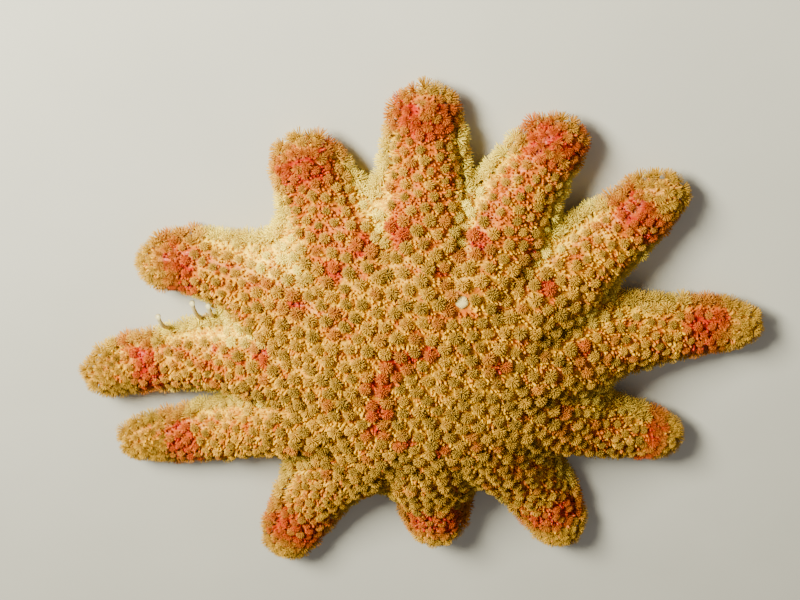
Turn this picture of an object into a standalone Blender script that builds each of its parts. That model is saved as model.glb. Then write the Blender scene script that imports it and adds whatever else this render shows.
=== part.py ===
"""Common sunstar (Crossaster papposus), life size, lying on the floor.

A domed disc carries twelve arms, a sieve plate (madreporite) and, underneath, a mouth ring.
Brush-like tufts (paxillae) stand all over the upper side and along both edges of each arm.
Metres, +Z up. The animal's own middle is at (0, 0) while it is built. At the end everything is
shifted so that the origin is under the middle of its bounding box.
"""

import math
import random
from collections import namedtuple

import bmesh
import bpy
from mathutils import Matrix, Vector
from mathutils.bvhtree import BVHTree

MM = 0.001
GAP = 0.3 * MM

# Height of the skin over the floor
TOP_HEIGHT = 35.5 * MM
EDGE_HEIGHT = 6.0 * MM
SHOULDER_RADIUS = 64.0 * MM
SHOULDER_POWER = 3.4

# Disc: a polygon with one flat side for each arm
DISC_SIDE = 61.0 * MM
VALLEY_START = 22.0 * MM
VALLEY_POWER = 1.5
WEB_DROP = 11.0 * MM
DISC_EDGE = DISC_SIDE - GAP / 2
DISC_REACH = 1.1 * DISC_SIDE
DISC_RIM_LIFT = 1.0 * MM
DISC_MIDDLE_LIFT = 4.5 * MM

# Arms: half width of the flesh beyond the web, and the rounded, lifted tip
ARM_HALF_WIDTH_BASE = 11.8 * MM
ARM_HALF_WIDTH_TIP = 7.2 * MM
ROOT_FLARE_FADE = 0.13
TIP_ROUNDING_START = 0.76
TIP_LIFT = 2.5 * MM
TIP_LIFT_START = 0.72
ROOT_BEND = 0.5
ROOT_SECTION_END = 0.3
FLANK_SHARE = 0.42
ARM_STATIONS = (0.0, 0.1, 0.26, 0.48, 0.7, 0.85, 0.95)

# Cross-section: shares of the half width, from one edge to the other
TOP_SHARES = (-1.0, -0.72, 0.0, 0.72)
GROOVE_SHARE = 0.34
UNDER_SHARES = (-1.0, -0.68, -GROOVE_SHARE, 0.0, GROOVE_SHARE, 0.68)
UNDER_EDGE_SHARE = 0.9
UNDER_EDGE_HEIGHT = 1.6 * MM
GROOVE_DEPTH = 3.2 * MM
DISC_TOP_RINGS = (
    (18 * MM, (-1.0,)),
    (36 * MM, (-1.0, 0.0)),
    (50 * MM, TOP_SHARES),
    (DISC_EDGE, TOP_SHARES),
)
DISC_UNDER_RINGS = ((DISC_EDGE, UNDER_SHARES), (30 * MM, UNDER_SHARES))
MOUTH_SHARES = (-1.0, 0.0)
SECTION_POWER = 2.4
SECTION_ROUNDING = 0.62

# Mouth ring in its recess, and sieve plate
MOUTH_RECESS_RADIUS = 10.0 * MM
MOUTH_RECESS_DEPTH = 3.5 * MM
MOUTH_RADIUS = 9.0 * MM
MOUTH_NOTCH = 7.4 * MM
MOUTH_THICKNESS = 3.0 * MM
SIEVE_AT = Vector((13.5 * MM, 34.5 * MM))
SIEVE_RADIUS = 2.6 * MM
SIEVE_HEIGHT = 1.5 * MM
SIEVE_PROFILE = ((1.0, 0.0), (1.0, 0.45), (0.72, 0.85))

# Tufts: a stalk sunk in the skin opens into a crown of points about a peak
TUFT_ROOT_DEPTH = 1.0 * MM
TUFT_STALK_RADIUS = 1.5 * MM
TUFT_STALK_HEIGHT = 0.7 * MM
TUFT_POINT_RADIUS = 4.9 * MM
TUFT_POINT_HEIGHT = 2.5 * MM
TUFT_NOTCH_RADIUS = 3.6 * MM
TUFT_NOTCH_HEIGHT = 2.0 * MM
TUFT_PEAK_HEIGHT = 3.5 * MM
TUFT_CLEAR_RADIUS = 1.1 * TUFT_POINT_RADIUS
TUFT_SIZE_SPREAD = 0.1
TUFT_LEAN = 0.06
TUFT_POINT_SPREAD = 0.1
DISC_TUFT_SPACING = 12.0 * MM
DISC_TUFT_JITTER = 0.9 * MM
ARM_TUFT_SPACING = 10.8 * MM
ARM_TUFT_FIRST = 5.4 * MM
ARM_TUFT_SHARE = 0.86
ARM_TUFT_TIP_SIZE = 0.82
ARM_ROW_SPACING = 0.9 * ARM_TUFT_SPACING
ARM_ROWS_END = 0.93
SECTION_STEPS = 24
EDGE_TUFT_SHARE = 0.99
EDGE_TUFT_RISE = 0.3
EDGE_ROWS_END = 0.95
EDGE_TUFT_SPACING = 11.4 * MM
TIP_TUFT_FAN = (-62.0, 0.0, 62.0)
TIP_TUFT_REACH = 1.6 * MM
GOLDEN_ANGLE = 180 * (3 - math.sqrt(5))
HEXAGON_PACKING = 2 / math.sqrt(3)
SEED = 12

# Tube feet: two rows in each arm's groove, each ending in a sucker just clear of the floor
FOOT_ROOT_DEPTH = 0.9 * MM
FOOT_RADIUS = 0.7 * MM
SUCKER_RADIUS = 1.15 * MM
SUCKER_CLEARANCE = 0.35 * MM
FOOT_SPACING = 9.5 * MM
FOOT_FIRST = 5.5 * MM
FOOT_ROWS_END = 0.88
FOOT_SIDES = 4

Arm = namedtuple("Arm", "name root_deg tip_deg reach")
TuftKind = namedtuple("TuftKind", "points width height")

DISC_TUFT = TuftKind(4, 1.0, 1.0)
ARM_TUFT = TuftKind(4, 0.9, 1.0)
EDGE_TUFT = TuftKind(3, 0.85, 1.15)
TIP_TUFT = TuftKind(3, 0.72, 0.9)

# Bearings are counted from +X towards +Y; reach is from the disc's middle to the flesh's tip.
ARMS = (
    Arm("arm_01", 89.0, 89.0, 99 * MM),
    Arm("arm_02", 63.0, 61.5, 98 * MM),
    Arm("arm_03", 34.5, 38.5, 104 * MM),
    Arm("arm_04", 3.5, 3.5, 114 * MM),
    Arm("arm_05", -31.0, -25.5, 100 * MM),
    Arm("arm_06", -57.0, -60.0, 108 * MM),
    Arm("arm_07", -86.0, -86.0, 92 * MM),
    Arm("arm_08", -119.0, -117.0, 113 * MM),
    Arm("arm_09", -149.0, -157.0, 115 * MM),
    Arm("arm_10", -176.0, -171.5, 116 * MM),
    Arm("arm_11", -206.5, -200.0, 97 * MM),
    Arm("arm_12", -242.5, -244.5, 90 * MM),
)


def bearing(degrees):
    """Unit vector in the floor plane."""
    angle = math.radians(degrees)
    return Vector((math.cos(angle), math.sin(angle)))


def left_of(direction):
    """The floor direction a quarter turn to the left."""
    return Vector((-direction.y, direction.x))


def mix(a, b, share):
    return a + (b - a) * share


def ease(value, low, high):
    """0 below low, 1 above high, smooth between."""
    share = min(1.0, max(0.0, (value - low) / (high - low)))
    return share * share * (3 - 2 * share)


def dome(x, y):
    """Height of the crest line over the floor at a plan point."""
    spread = (math.hypot(x, y) / SHOULDER_RADIUS) ** SHOULDER_POWER
    return EDGE_HEIGHT + (TOP_HEIGHT - EDGE_HEIGHT) / (1 + spread)


def section_fall(share):
    """How far down a rounded section has come at a share of its half width, from 0 to 1."""
    return 1 - max(0.0, 1 - abs(share) ** SECTION_POWER) ** SECTION_ROUNDING


def half_sector(index, side):
    """Half the angle between an arm and its neighbour: side 1 is anticlockwise, -1 clockwise."""
    here = ARMS[index].root_deg
    there = ARMS[(index - side) % len(ARMS)].root_deg
    return math.radians(abs((there - here + 180) % 360 - 180)) / 2


def root_half_width(index, side):
    return DISC_SIDE * math.tan(half_sector(index, side)) - GAP


def disc_point(index, along, share):
    """Plan point of the disc: along is the distance on the arm's bearing."""
    direction = bearing(ARMS[index].root_deg)
    side = 1 if share >= 0 else -1
    across = along * math.tan(half_sector(index, side)) * share
    return direction * along + left_of(direction) * across


def disc_top(index, along, share):
    point = disc_point(index, along, share)
    beyond = max(0.0, (along - VALLEY_START) / (DISC_SIDE - VALLEY_START))
    valley = WEB_DROP * beyond ** VALLEY_POWER
    return Vector((*point, dome(*point) - valley * section_fall(share)))


def disc_under(index, along, share):
    point = disc_point(index, along, share)
    lift = mix(DISC_MIDDLE_LIFT, DISC_RIM_LIFT, along / DISC_SIDE)
    groove = GROOVE_DEPTH if share == 0 else 0.0
    return Vector((*point, lift + groove))


class ArmShape:
    """Plan curve and cross-sections of one arm. s runs from 0 at the root to 1 at the tip."""

    def __init__(self, index):
        self.index = index
        arm = ARMS[index]
        self.name = arm.name
        root_direction = bearing(arm.root_deg)
        self.start = root_direction * (DISC_SIDE + GAP / 2)
        self.end = bearing(arm.tip_deg) * arm.reach
        self.length = (self.end - self.start).length
        self.bend = self.start + root_direction * (ROOT_BEND * self.length)

    def centre(self, s):
        first = self.start.lerp(self.bend, s)
        return first.lerp(self.bend.lerp(self.end, s), s)

    def heading(self, s):
        return (self.start.lerp(self.bend, s) * -1 + self.bend.lerp(self.end, s)).normalized()

    def rounding(self, s):
        """1 along the arm, falling to 0 on a rounded tip."""
        share = max(0.0, (s - TIP_ROUNDING_START) / (1 - TIP_ROUNDING_START))
        return math.sqrt(max(0.0, 1 - share * share))

    def half_width(self, s, side):
        flesh = mix(ARM_HALF_WIDTH_BASE, ARM_HALF_WIDTH_TIP, s)
        flare = root_half_width(self.index, side) - ARM_HALF_WIDTH_BASE
        return flesh + flare * math.exp(-s / ROOT_FLARE_FADE)

    def lift(self, s):
        return TIP_LIFT * ease(s, TIP_LIFT_START, 1.0)

    def place(self, s, across, height):
        """A point of the section at s, shrunk about the section's middle on the tip."""
        shrink = self.rounding(s)
        centre = self.centre(s)
        middle = FLANK_SHARE * dome(*centre)
        point = centre + left_of(self.heading(s)) * (across * shrink)
        return Vector((*point, mix(middle, height, shrink) + self.lift(s)))

    def top(self, s, share):
        side = 1 if share >= 0 else -1
        across = share * self.half_width(s, side)
        point = self.centre(s) + left_of(self.heading(s)) * across
        crest = dome(*self.centre(s))
        drop = mix(WEB_DROP, crest * (1 - FLANK_SHARE), ease(s, 0.0, ROOT_SECTION_END))
        return self.place(s, across, dome(*point) - drop * section_fall(share))

    def under(self, s, share):
        side = 1 if share >= 0 else -1
        if abs(share) == 1:
            across = share * UNDER_EDGE_SHARE * self.half_width(s, side)
            return self.place(s, across, UNDER_EDGE_HEIGHT)
        groove = GROOVE_DEPTH * max(0.0, 1 - abs(share) / GROOVE_SHARE)
        return self.place(s, share * self.half_width(s, side), groove)

    def ring(self, s):
        top = [self.top(s, share) for share in (*TOP_SHARES, 1.0)]
        under = [self.under(s, share) for share in (*UNDER_SHARES, 1.0)]
        return top + under[::-1]

    def normal(self, s, share):
        """Outward direction of the upper skin, from two short steps along it."""
        step = 0.02
        along = self.top(min(ARM_STATIONS[-1], s + step), share) - self.top(max(0.0, s - step), share)
        across = self.top(s, min(1.0, share + step)) - self.top(s, max(-1.0, share - step))
        return along.cross(across).normalized()


def material(name, colour, roughness):
    made = bpy.data.materials.new(name)
    made.use_nodes = True
    shader = made.node_tree.nodes["Principled BSDF"]
    shader.inputs["Base Color"].default_value = (*colour, 1.0)
    shader.inputs["Roughness"].default_value = roughness
    shader.inputs["Metallic"].default_value = 0.0
    return made


def finished_object(name, bm, finish):
    """Links a new object made from the bmesh, with its faces turned outwards."""
    bmesh.ops.recalc_face_normals(bm, faces=bm.faces)
    mesh = bpy.data.meshes.new(name)
    bm.to_mesh(mesh)
    bm.free()
    mesh.materials.append(finish)
    made = bpy.data.objects.new(name, mesh)
    bpy.context.scene.collection.objects.link(made)
    return made


def join_rings(bm, lower, upper):
    """Faces between two rings, which may have different numbers of evenly shared corners."""
    if len(lower) == len(upper):
        for i in range(len(lower)):
            j = (i + 1) % len(lower)
            bm.faces.new((lower[i], lower[j], upper[j], upper[i]))
        return
    i = j = 0
    while i < len(lower) or j < len(upper):
        here, there = lower[i % len(lower)], upper[j % len(upper)]
        if j == len(upper) or (i + 0.5) / len(lower) < (j + 0.5) / len(upper):
            i += 1
            bm.faces.new((here, lower[i % len(lower)], there))
        else:
            j += 1
            bm.faces.new((here, upper[j % len(upper)], there))


def mesh_object(name, rings, caps, finish):
    """A closed object from rings of points: caps holds one (point or None) for each end."""
    bm = bmesh.new()
    loops = [[bm.verts.new(point) for point in ring] for ring in rings]
    for lower, upper in zip(loops, loops[1:]):
        join_rings(bm, lower, upper)
    for loop, cap in zip((loops[0], loops[-1]), caps):
        if cap is None:
            bm.faces.new(loop)
            continue
        peak = bm.verts.new(cap)
        for i in range(len(loop)):
            bm.faces.new((loop[i], loop[(i + 1) % len(loop)], peak))
    return finished_object(name, bm, finish)


def varied(spread):
    """A random factor about 1."""
    return 1 + random.uniform(-spread, spread)


def tuft_corners(at, axis, kind, size):
    """The corners of one tuft: its stalk's two rings, the rim of points and notches, the peak."""
    frame = axis.to_track_quat("Z", "Y").to_matrix()
    twist = random.uniform(0, 360)
    wide = size * kind.width
    tall = size * kind.height

    def corner(step, radius, height):
        around = bearing(twist + 360 * step / kind.points) * radius * wide
        return at + frame @ Vector((*around, height))

    sunk = [corner(i, TUFT_STALK_RADIUS, -TUFT_ROOT_DEPTH) for i in range(kind.points)]
    neck = [corner(i, TUFT_STALK_RADIUS, TUFT_STALK_HEIGHT) for i in range(kind.points)]
    rim = []
    for i in range(kind.points):
        height = TUFT_POINT_HEIGHT * tall * varied(TUFT_POINT_SPREAD)
        rim.append(corner(i, TUFT_POINT_RADIUS, height))
        rim.append(corner(i + 0.5, TUFT_NOTCH_RADIUS, TUFT_NOTCH_HEIGHT * tall))
    return sunk, neck, rim, corner(0, 0.0, TUFT_PEAK_HEIGHT * tall)


def tuft_object(corners, finish):
    """A closed tuft from its corners."""
    sunk, neck, rim, peak = corners
    bm = bmesh.new()
    root = [bm.verts.new(point) for point in sunk]
    low = [bm.verts.new(point) for point in neck]
    high = [bm.verts.new(point) for point in rim]
    top = bm.verts.new(peak)
    for i in range(len(low)):
        following = (i + 1) % len(low)
        point, notch, after = high[2 * i], high[2 * i + 1], high[2 * following]
        bm.faces.new((root[i], root[following], low[following], low[i]))
        bm.faces.new((low[i], notch, point))
        bm.faces.new((low[i], low[following], notch))
        bm.faces.new((low[following], after, notch))
        bm.faces.new((point, notch, top))
        bm.faces.new((notch, after, top))
    bm.faces.new(root)
    return finished_object("tuft", bm, finish)


def foot_object(root, end, finish):
    """A closed tube foot that widens from its root in the groove to its sucker."""
    bm = bmesh.new()
    rings = []
    for centre, radius in ((root, FOOT_RADIUS), (end, SUCKER_RADIUS)):
        rings.append([
            bm.verts.new(centre + Vector((*(bearing(360 * i / FOOT_SIDES) * radius), 0)))
            for i in range(FOOT_SIDES)
        ])
    for i in range(FOOT_SIDES):
        j = (i + 1) % FOOT_SIDES
        bm.faces.new((rings[0][i], rings[0][j], rings[1][j], rings[1][i]))
    for ring in rings:
        bm.faces.new(ring)
    return finished_object("foot", bm, finish)


def boundary_clearance(index, point):
    """How far a point lies inside an arm's own wedge, from the planes shared with its neighbours."""
    root = ARMS[index].root_deg
    clearances = []
    for side in (1, -1):
        edge = bearing(root + side * math.degrees(half_sector(index, side)))
        clearances.append(-side * point.to_2d().dot(left_of(edge)))
    return min(clearances)


def tuft_fits(index, corners, beyond_root):
    """Whether every corner stays clear of the floor, the neighbouring wedges and the root plane."""
    sunk, neck, rim, peak = corners
    direction = bearing(ARMS[index].root_deg)
    for point in (*sunk, *neck, *rim, peak):
        past_root = point.to_2d().dot(direction) - DISC_SIDE
        if point.z < GAP or beyond_root * past_root < GAP:
            return False
        if beyond_root > 0 and boundary_clearance(index, point) < GAP:
            return False
    return True


def sector_of(x, y):
    """The arm in whose wedge of the disc a plan point lies, and how far along and across it is."""
    point = Vector((x, y))
    for index, arm in enumerate(ARMS):
        direction = bearing(arm.root_deg)
        along = point.dot(direction)
        across = point.dot(left_of(direction))
        side = 1 if across >= 0 else -1
        if along > 0 and abs(across) <= along * math.tan(half_sector(index, side)) + 1e-9:
            return index, along, across / (along * math.tan(half_sector(index, side)))
    raise ValueError("no wedge holds this point")


def disc_skin(x, y):
    """The point of the disc's upper skin over a plan point."""
    index, along, share = sector_of(x, y)
    return Vector((x, y, disc_top(index, along, share).z))


def disc_normal(x, y):
    step = MM
    slope_x = disc_skin(x + step, y) - disc_skin(x - step, y)
    slope_y = disc_skin(x, y + step) - disc_skin(x, y - step)
    return slope_x.cross(slope_y).normalized()


def leaned(axis):
    """The axis with a small random lean, as no two tufts stand quite alike."""
    lean = Vector((random.gauss(0, 1), random.gauss(0, 1), random.gauss(0, 1)))
    return (axis + lean * TUFT_LEAN).normalized()


def disc_tufts():
    """Tufts over the disc in a sunflower spiral, which spreads them evenly in no rows."""
    per_disc = math.pi * HEXAGON_PACKING
    count = int((DISC_REACH / DISC_TUFT_SPACING) ** 2 * per_disc)
    found = []
    for k in range(count):
        radius = DISC_TUFT_SPACING * math.sqrt((k + 0.5) / per_disc)
        plan = bearing(GOLDEN_ANGLE * k) * radius
        x = plan.x + random.uniform(-1, 1) * DISC_TUFT_JITTER
        y = plan.y + random.uniform(-1, 1) * DISC_TUFT_JITTER
        index = sector_of(x, y)[0]
        size = varied(TUFT_SIZE_SPREAD)
        corners = tuft_corners(disc_skin(x, y), leaned(disc_normal(x, y)), DISC_TUFT, size)
        clear_of_sieve = (Vector((x, y)) - SIEVE_AT).length > SIEVE_RADIUS + TUFT_CLEAR_RADIUS
        if clear_of_sieve and tuft_fits(index, corners, -1):
            found.append(corners)
    return found


def rows_along(shape, first, spacing, end):
    """Places s along an arm, from a distance past its root to a share of its length."""
    count = int((shape.length * end - first) / spacing) + 1
    return [(first + row * spacing) / shape.length for row in range(count)]


def even_shares(shape, s, offset):
    """Shares of the half width, spaced evenly along the skin's arc; offset staggers the rows."""
    steps = SECTION_STEPS
    shares = [ARM_TUFT_SHARE * (2 * i / steps - 1) for i in range(steps + 1)]
    points = [shape.top(s, share) for share in shares]
    runs = [0.0]
    for before, after in zip(points, points[1:]):
        runs.append(runs[-1] + (after - before).length)
    count = max(1, round(runs[-1] / ARM_TUFT_SPACING))
    found = []
    for i in range(count + offset):
        wanted = runs[-1] * (i + 0.5 - 0.5 * offset) / count
        nearest = min(range(steps + 1), key=lambda k: abs(runs[k] - wanted))
        found.append(shares[nearest])
    return found


def arm_tufts(shape):
    """Tufts on an arm's back in staggered rows, along both edges, and in a fan on its tip."""
    planned = []
    for row, s in enumerate(rows_along(shape, ARM_TUFT_FIRST, ARM_ROW_SPACING, ARM_ROWS_END)):
        size = mix(1.0, ARM_TUFT_TIP_SIZE, s)
        for share in even_shares(shape, s, row % 2):
            planned.append((shape.top(s, share), shape.normal(s, share), ARM_TUFT, size))
    for s in rows_along(shape, ARM_TUFT_FIRST, EDGE_TUFT_SPACING, EDGE_ROWS_END):
        size = mix(1.0, ARM_TUFT_TIP_SIZE, s)
        for side in (-1, 1):
            outward = Vector((*(left_of(shape.heading(s)) * side), EDGE_TUFT_RISE))
            planned.append((shape.top(s, side * EDGE_TUFT_SHARE), outward.normalized(), EDGE_TUFT, size))
    heading = shape.heading(1.0)
    ahead = math.degrees(math.atan2(heading.y, heading.x))
    for turn in TIP_TUFT_FAN:
        outward = Vector((*bearing(ahead + turn), EDGE_TUFT_RISE)).normalized()
        at = shape.place(ARM_STATIONS[-1], 0.0, 0.0) + outward * TIP_TUFT_REACH
        planned.append((at, outward, TIP_TUFT, 1.0))
    found = []
    for at, axis, kind, size in planned:
        corners = tuft_corners(at, leaned(axis), kind, size * varied(TUFT_SIZE_SPREAD))
        if tuft_fits(shape.index, corners, 1):
            found.append(corners)
    return found


def arm_feet(shape):
    """Root and end of each tube foot: two rows that run to the tip."""
    found = []
    for s in rows_along(shape, FOOT_FIRST, FOOT_SPACING, FOOT_ROWS_END):
        for side in (-1, 1):
            skin = shape.under(s, side * GROOVE_SHARE / 2)
            end = Vector((skin.x, skin.y, shape.lift(s) + SUCKER_CLEARANCE))
            found.append((skin + Vector((0, 0, FOOT_ROOT_DEPTH)), end))
    return found


def largest_surface(bm):
    """Deletes all but the largest closed surface."""
    left = set(bm.faces)
    surfaces = []
    while left:
        reached = [left.pop()]
        surface = list(reached)
        while reached:
            for edge in reached.pop().edges:
                for face in edge.link_faces:
                    if face in left:
                        left.remove(face)
                        reached.append(face)
                        surface.append(face)
        surfaces.append(surface)
    surfaces.sort(key=lambda surface: sum(face.calc_area() for face in surface))
    loose = [face for surface in surfaces[:-1] for face in surface]
    bmesh.ops.delete(bm, geom=loose, context="FACES")


def fuse(body, pieces):
    """Joins the pieces to the body in one union and keeps the one closed surface."""
    group = bpy.data.collections.new("pieces")
    bpy.context.scene.collection.children.link(group)
    for piece in pieces:
        bpy.context.scene.collection.objects.unlink(piece)
        group.objects.link(piece)
    union = body.modifiers.new("union", "BOOLEAN")
    union.operation = "UNION"
    union.operand_type = "COLLECTION"
    union.solver = "EXACT"
    union.collection = group
    evaluated = body.evaluated_get(bpy.context.evaluated_depsgraph_get())
    bm = bmesh.new()
    bm.from_mesh(evaluated.to_mesh())
    evaluated.to_mesh_clear()
    body.modifiers.clear()
    largest_surface(bm)
    bm.to_mesh(body.data)
    bm.free()
    for piece in pieces:
        bpy.data.objects.remove(piece)
    bpy.data.collections.remove(group)


def around_disc(surface, level, shares):
    """One ring of disc points, anticlockwise: sectors are visited in order of rising bearing."""
    ring = []
    for index in reversed(range(len(ARMS))):
        ring += [surface(index, level, share) for share in shares]
    return ring


def make_disc(finish):
    """The disc's closed shell: crown, rim, grooved underside and the recess for the mouth."""
    top = [around_disc(disc_top, level, shares) for level, shares in DISC_TOP_RINGS]
    under = [around_disc(disc_under, level, shares) for level, shares in DISC_UNDER_RINGS]
    mouth_edge = []
    floor_of_recess = []
    for point in around_disc(disc_under, DISC_EDGE, MOUTH_SHARES):
        outward = point.to_2d().normalized() * MOUTH_RECESS_RADIUS
        mouth_edge.append(Vector((*outward, DISC_MIDDLE_LIFT)))
        floor_of_recess.append(Vector((*outward, DISC_MIDDLE_LIFT + MOUTH_RECESS_DEPTH)))
    rings = [*top, *under, mouth_edge, floor_of_recess]
    peak = Vector((0, 0, dome(0, 0)))
    ceiling = Vector((0, 0, DISC_MIDDLE_LIFT + MOUTH_RECESS_DEPTH))
    disc = mesh_object("disc", rings, (peak, ceiling), finish)
    fuse(disc, [tuft_object(corners, finish) for corners in disc_tufts()])
    return disc


def make_arm(shape, finish):
    rings = [shape.ring(s) for s in ARM_STATIONS]
    arm = mesh_object(shape.name, rings, (None, shape.place(1.0, 0.0, 0.0)), finish)
    pieces = [tuft_object(corners, finish) for corners in arm_tufts(shape)]
    pieces += [foot_object(root, end, finish) for root, end in arm_feet(shape)]
    fuse(arm, pieces)
    return arm


def make_mouth(finish):
    """A ring of jaw points round the mouth's pit, held up in the disc's recess."""
    teeth = 2 * len(ARMS)
    low = DISC_MIDDLE_LIFT + MOUTH_RECESS_DEPTH - GAP - MOUTH_THICKNESS
    high = DISC_MIDDLE_LIFT + MOUTH_RECESS_DEPTH - GAP

    def circle(outer, inner, height):
        points = []
        for i in range(teeth):
            radius = outer if i % 2 == 0 else inner
            points.append(Vector((*(bearing(360 * i / teeth) * radius), height)))
        return points

    rings = [
        circle(MOUTH_RADIUS, MOUTH_RADIUS, high),
        circle(MOUTH_RADIUS, MOUTH_RADIUS, low + MOUTH_THICKNESS / 3),
        circle(MOUTH_NOTCH, MOUTH_NOTCH - MM, low),
        circle(MOUTH_NOTCH / 3, MOUTH_NOTCH / 2, low + MOUTH_THICKNESS / 2),
    ]
    pit = Vector((0, 0, low + 2 * MOUTH_THICKNESS / 3))
    return mesh_object("mouth", rings, (None, pit), finish)


def make_sieve(disc, finish):
    """The sieve plate: a low button that stands just clear of the disc's skin."""
    mesh = disc.data
    corners = [vertex.co for vertex in mesh.vertices]
    surface = BVHTree.FromPolygons(corners, [face.vertices for face in mesh.polygons])
    above = Vector((*SIEVE_AT, 2 * TOP_HEIGHT))
    skin, up, _, _ = surface.ray_cast(above, Vector((0, 0, -1)))
    frame = up.to_track_quat("Z", "Y").to_matrix()
    rings = []
    for radius, height in SIEVE_PROFILE:
        rings.append([
            skin + frame @ Vector((
                *(bearing(30 * i) * SIEVE_RADIUS * radius),
                GAP + SIEVE_HEIGHT * height,
            ))
            for i in range(12)
        ])
    crown = skin + frame @ Vector((0, 0, GAP + SIEVE_HEIGHT))
    return mesh_object("madreporite", rings, (None, crown), finish)


def centre_on_box(objects):
    """Shifts every node so that the origin is under the middle of the whole animal's box."""
    corners = [vertex.co for made in objects for vertex in made.data.vertices]
    middle_x = (min(c.x for c in corners) + max(c.x for c in corners)) / 2
    middle_y = (min(c.y for c in corners) + max(c.y for c in corners)) / 2
    lowest = min(c.z for c in corners)
    for made in objects:
        made.data.transform(Matrix.Translation((-middle_x, -middle_y, -lowest)))
        made.data.shade_smooth()
        made.data.set_sharp_from_angle(angle=math.radians(50))


def main():
    for old in list(bpy.data.objects):
        bpy.data.objects.remove(old)
    random.seed(SEED)
    skin = material("skin", (0.80, 0.36, 0.12), 0.55)
    arm_skin = material("arm_skin", (0.82, 0.33, 0.12), 0.55)
    plate = material("sieve_plate", (0.90, 0.85, 0.62), 0.6)
    mouth_skin = material("mouth_skin", (0.85, 0.70, 0.45), 0.5)
    disc = make_disc(skin)
    made = [disc, make_mouth(mouth_skin), make_sieve(disc, plate)]
    for index in range(len(ARMS)):
        made.append(make_arm(ArmShape(index), arm_skin))
    centre_on_box(made)


main()
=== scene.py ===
"""The looks of a common sunstar: one skin, its brush-like paxillae, papulae, tube feet and mouth.

Lengths inside the script are millimetres about the animal's own middle on the floor. Pieces are
turned into metres about the mouth part's middle when their meshes are made, and hung under the root
body.
"""

import itertools
import math

import bmesh
import bpy
import numpy as np
from mathutils import Matrix, Vector
from mathutils.bvhtree import BVHTree
from mathutils.kdtree import KDTree

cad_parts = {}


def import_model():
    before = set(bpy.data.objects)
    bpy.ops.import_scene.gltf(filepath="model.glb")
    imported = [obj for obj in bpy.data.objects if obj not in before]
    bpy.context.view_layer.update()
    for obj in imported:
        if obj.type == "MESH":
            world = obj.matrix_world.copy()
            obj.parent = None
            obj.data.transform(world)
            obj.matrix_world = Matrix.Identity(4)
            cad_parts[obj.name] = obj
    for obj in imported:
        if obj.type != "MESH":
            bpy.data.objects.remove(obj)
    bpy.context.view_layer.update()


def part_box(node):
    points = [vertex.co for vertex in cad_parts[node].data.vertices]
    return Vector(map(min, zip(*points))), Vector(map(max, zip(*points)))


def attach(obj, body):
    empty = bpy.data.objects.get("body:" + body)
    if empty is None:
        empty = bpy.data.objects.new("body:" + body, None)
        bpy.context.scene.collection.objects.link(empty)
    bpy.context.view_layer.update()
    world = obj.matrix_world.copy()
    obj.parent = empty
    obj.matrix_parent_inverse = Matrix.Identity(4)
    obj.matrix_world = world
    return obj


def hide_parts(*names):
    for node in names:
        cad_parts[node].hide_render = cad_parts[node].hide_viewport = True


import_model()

MM = 0.001
SEED = 7
rng = np.random.default_rng(SEED)
mouth_low, mouth_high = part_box("mouth")
OWN_MIDDLE = np.array([(mouth_low.x + mouth_high.x) / 2, (mouth_low.y + mouth_high.y) / 2, 0.0])

# Body, as in the solids
TOP_HEIGHT = 35.5
EDGE_HEIGHT = 6.0
SHOULDER_RADIUS = 64.0
SHOULDER_POWER = 3.4
DISC_SIDE = 61.0
VALLEY_START = 22.0
VALLEY_POWER = 1.5
WEB_DROP = 11.0
DISC_RIM_LIFT = 1.0
DISC_MIDDLE_LIFT = 4.5
HALF_WIDTH_BASE = 11.8
HALF_WIDTH_TIP = 7.2
ROOT_INSET = 0.15
ROOT_FLARE_FADE = 0.13
ROOT_END = 0.3
TIP_ROUNDING_START = 0.76
TIP_LIFT = 2.5
TIP_LIFT_START = 0.72
FLANK_SHARE = 0.42
GROOVE_SHARE = 0.34
GROOVE_DEPTH = 3.2
GROOVE_RUN_IN = (10.0, 20.0)
SECTION_POWER = 2.4
SECTION_ROUNDING = 0.62
UNDER_EDGE = (0.75, 0.95)
UNDER_EDGE_HEIGHT = 1.6
UNDER_EDGE_TUCK = 0.08
UNDER_RAISE = 1.3
MOUTH_RECESS_RADIUS = 10.0
MOUTH_RECESS_DEPTH = 3.5
SIEVE_AT = (13.5, 34.5)

# Bearing at the root and at the tip, and the reach of the flesh, for each arm
ARMS = (
    (89.0, 89.0, 99.0), (63.0, 61.5, 98.0), (34.5, 38.5, 104.0), (3.5, 3.5, 114.0),
    (-31.0, -25.5, 100.0), (-57.0, -60.0, 108.0), (-86.0, -86.0, 92.0), (-119.0, -117.0, 113.0),
    (-149.0, -157.0, 115.0), (-176.0, -171.5, 116.0), (-206.5, -200.0, 97.0), (-242.5, -244.5, 90.0),
)

# Skin mesh: first, last and number of the rough forms' rings, and how they are fused
DISC_TOP_RINGS = (3, DISC_SIDE, 26)
DISC_UNDER_RINGS = (DISC_SIDE, 12, 18)
ARM_RINGS = (0, 0.995, 34)
ARM_RING_POWER = 1.4
RECESS_EDGE = 0.2
ROOT_OVERLAP = 4.0
ROOT_SHRINK = 0.96
VOXEL = 0.9
SMOOTHING_STEPS = 8

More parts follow.
